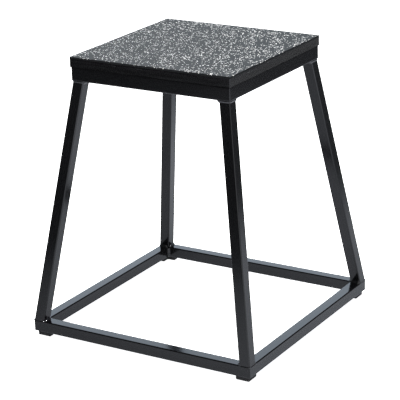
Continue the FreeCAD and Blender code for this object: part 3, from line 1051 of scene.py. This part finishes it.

# %% [markdown]
# ## The floor, twice
# A black glossy frame is lit by what it mirrors. Low on the legs a white floor shines back, and near the top
# they are black, as if the floor were a few steps wide in a room that is dark further out. One floor can't be
# wide and white for the eye and small for the mirror, so there are two. The camera and the soft light see a
# wide white one. The gloss sees a glowing patch that fades out, brighter to the right and behind the box,
# with a shadow painted into it beside the base rails, where the box would shade a real floor. Far to the
# front right it glows again, which the rounded edges between the front and right sides mirror as thin light
# lines.

# %% The white floor
FLOOR_SIZE = 40.0
FLOOR_LEVEL = -0.2 * MM
FLOOR_DARK = (0.86, 0.86, 0.86, 1.0)
FLOOR_LIGHT = (0.90, 0.90, 0.90, 1.0)
FLOOR_MOTTLE = 0.8
FLOOR_ROUGHNESS = 0.9
FLOOR_GLOW = 1.05


def add_floor(name, size, finish, camera, diffuse, glossy):
    """A level square that isn't part of the model, seen by some kinds of rays and not by others."""
    half = size / 2
    mesh = bpy.data.meshes.new(name)
    corners = [(-half, -half), (half, -half), (half, half), (-half, half)]
    mesh.from_pydata([(x, y, FLOOR_LEVEL) for x, y in corners], [], [(0, 1, 2, 3)])
    mesh.materials.append(finish)
    piece = bpy.data.objects.new(name, mesh)
    bpy.context.scene.collection.objects.link(piece)
    piece.visible_camera = camera
    piece.visible_diffuse = diffuse
    piece.visible_glossy = glossy
    piece.visible_shadow = False
    print("stage:", name, size, "m wide")


def floor_finish(name):
    """White and faintly mottled, with a glow of its own that keeps it white."""
    material, shader, place = new_finish(name)
    mottle = noise(place, FLOOR_MOTTLE, detail=2.0)
    set_shader(
        shader,
        Base_Color=mix_colour(mottle, FLOOR_DARK, FLOOR_LIGHT),
        Roughness=FLOOR_ROUGHNESS,
        Emission_Color=(1.0, 1.0, 1.0, 1.0),
        Emission_Strength=FLOOR_GLOW,
    )
    return material


add_floor("floor", FLOOR_SIZE, floor_finish("white_floor"), camera=True, diffuse=True, glossy=False)

# %% The floor that the gloss sees
GLOW_SIZE = 12.0
PATCH_MIDDLE = (0.26, -0.43, 0.0)
PATCH_INNER = 1.14
PATCH_OUTER = 2.43
PATCH_LEFT = -1.36
PATCH_RIGHT = 0.60
PATCH_DIM = 0.19
PATCH_BRIGHT = 0.82
BEHIND_MIDDLE = (-0.37, 0.85, 0.0)
BEHIND_REACH = 0.77
BEHIND_BRIGHT = 0.8
FAR_LEFT = -1.5
FAR_RIGHT = 0.3
FAR_DIM = 0.043
FAR_BRIGHT = 0.122
EDGE_GLOW_NEAR = 0.9
EDGE_GLOW_FAR = 1.8
EDGE_GLOW_RIGHT = 0.7
CONTACT_REACH = 0.12
CONTACT_SHADE = 0.75
GLOW_RED = 0.95
GLOW_BLUE = 1.1


def glow_strength(place):
    """How strongly each spot of the floor shines back, with a painted shadow beside the base rails."""
    right = coordinate(place, "X")
    deep = coordinate(place, "Y")
    from_middle = Wire.math("MAXIMUM", Wire.math("ABSOLUTE", right), Wire.math("ABSOLUTE", deep))
    # A shadow painted into the glow: darker near the base rails, where the box would shade a real floor.
    to_rail = Wire.math("ABSOLUTE", from_middle - base_high.x)
    painted_rail_shadow = ramp(to_rail, 0.0, CONTACT_REACH, CONTACT_SHADE, 1.0)
    patch = ramp(vector_math("DISTANCE", place, PATCH_MIDDLE, "Value"), PATCH_INNER, PATCH_OUTER, 1.0, 0.0)
    patch = patch * ramp(right, PATCH_LEFT, PATCH_RIGHT, PATCH_DIM, PATCH_BRIGHT)
    from_behind = vector_math("DISTANCE", place, BEHIND_MIDDLE, "Value")
    behind = ramp(from_behind, 0.0, BEHIND_REACH, BEHIND_BRIGHT, 0.0)
    far = ramp(right, FAR_LEFT, FAR_RIGHT, FAR_DIM, FAR_BRIGHT)
    to_front_right = (right - deep) * math.sqrt(0.5)
    edge_glow = ramp(to_front_right, EDGE_GLOW_NEAR, EDGE_GLOW_FAR) * ramp(right, 0.0, EDGE_GLOW_RIGHT)
    return (patch + behind) * painted_rail_shadow + far + edge_glow


def glow_finish(name):
    """A faintly blue glow and nothing else."""
    material, shader, place = new_finish(name)
    tree = material.node_tree
    tree.nodes.remove(shader)
    strength = glow_strength(place)
    tint = {"Red": strength * GLOW_RED, "Green": strength, "Blue": strength * GLOW_BLUE}
    colour = Wire.node(tree, "ShaderNodeCombineColor", tint)
    glow = Wire.node(tree, "ShaderNodeEmission", {"Color": colour})
    tree.links.new(glow.socket, tree.nodes["Material Output"].inputs["Surface"])
    return material


add_floor("glow_patch", GLOW_SIZE, glow_finish("floor_glow"), camera=False, diffuse=False, glossy=True)

# %% [markdown]
# ## Light
# What stands round the box is drawn in the world, by direction: a dim room, a pale backdrop behind that makes
# the rails' tops blue grey, and a low strip of light to the front right for the rounded edges. Walls as
# meshes would do the same, but they would have to be hidden from the camera. A large soft panel lights the
# mat from above. A small one to the right puts sparks on the ripples of the legs' welds. It is linked to
# those two pieces alone, because on flat paint it would show as a glare.

# %% The room in the world
ROOM_COLOUR = (0.06, 0.062, 0.066, 1.0)
STRIP_COLOUR = (1.0, 1.05, 1.1, 1.0)
STRIP_SIDE = (0.8, -0.6, 0.0)
STRIP_WIDTH = (0.7, 0.85)
STRIP_HEIGHT = (0.22, 0.12)
BACKDROP_COLOUR = (1.25, 1.44, 1.66, 1.0)
BACKDROP_SIDE = (-0.5, 0.866, 0.0)
BACKDROP_WIDTH = (0.6, 0.85)
BACKDROP_HEIGHT = (0.56, 0.43)
world = bpy.data.worlds.new("studio")
bpy.context.scene.world = world
world.use_nodes = True
room = world.node_tree
facing = Wire.node(room, "ShaderNodeTexCoord", output="Generated")
rise = coordinate(facing, "Z")
to_backdrop = vector_math("DOT_PRODUCT", facing, BACKDROP_SIDE, "Value")
backdrop = ramp(to_backdrop, *BACKDROP_WIDTH) * ramp(rise, *BACKDROP_HEIGHT)
to_strip = vector_math("DOT_PRODUCT", facing, STRIP_SIDE, "Value")
strip = ramp(to_strip, *STRIP_WIDTH) * ramp(Wire.math("ABSOLUTE", rise), *STRIP_HEIGHT)
room_colour = mix_colour(strip, ROOM_COLOUR, STRIP_COLOUR)
room_colour = mix_colour(backdrop, room_colour, BACKDROP_COLOUR)
room.links.new(room_colour.socket, room.nodes["Background"].inputs["Color"])
print("world:", world.name, "with", len(room.nodes), "nodes")

# %% Panels
AIM = Vector((0, 0, 0.4))


def add_panel(name, place, size, power, diffuse, glossy):
    """A square light that faces the middle of the box. Diffuse and glossy say which rays see it."""
    light = bpy.data.lights.new(name, "AREA")
    light.shape = "SQUARE"
    light.size = size
    light.energy = power
    panel = bpy.data.objects.new(name, light)
    bpy.context.scene.collection.objects.link(panel)
    panel.location = place
    panel.rotation_euler = (AIM - Vector(place)).to_track_quat("-Z", "Y").to_euler()
    panel.visible_camera = False
    panel.visible_diffuse = diffuse
    panel.visible_glossy = glossy
    print("panel:", name, power, "W")
    return panel


add_panel("top_panel", (0.0, 0.0, 3.0), size=2.4, power=220.0, diffuse=True, glossy=False)
spark_panel = add_panel("spark_panel", (2.0, -1.1, 2.0), size=0.3, power=110.0, diffuse=False, glossy=True)
leg_welds = bpy.data.collections.new("leg_welds")
for name in ("leg_base_beads", "leg_top_beads"):
    leg_welds.objects.link(bpy.data.objects[name])
spark_panel.light_linking.receiver_collection = leg_welds
bpy.context.scene.view_settings.view_transform = "Standard"

# %% [markdown]
# ## The camera
# The photograph was taken from the front right, from above the deck, with a long lens. Turning, height,
# distance and lens were worked out by matching the frame's edges, so the camera stands at those angles round
# a point near the box's axis.

# %% Camera
AZIMUTH = math.radians(31.423)
ELEVATION = math.radians(19.115)
ROLL = math.radians(-1.623)
DISTANCE = 3.6608
TARGET = Vector((-0.00187, 0.0, 0.26667))
LENS = 152.136
SENSOR = 36.0
camera_data = bpy.data.cameras.new("camera")
camera_data.lens = LENS
camera_data.sensor_width = SENSOR
camera = bpy.data.objects.new("camera", camera_data)
bpy.context.scene.collection.objects.link(camera)
look = Matrix.Rotation(AZIMUTH, 4, "Z") @ Matrix.Rotation(QUARTER - ELEVATION, 4, "X")
look = look @ Matrix.Rotation(ROLL, 4, "Z")
camera.matrix_world = Matrix.Translation(TARGET) @ look @ Matrix.Translation((0, 0, DISTANCE))
bpy.context.scene.camera = camera
print("camera at", [round(x, 3) for x in camera.matrix_world.translation])
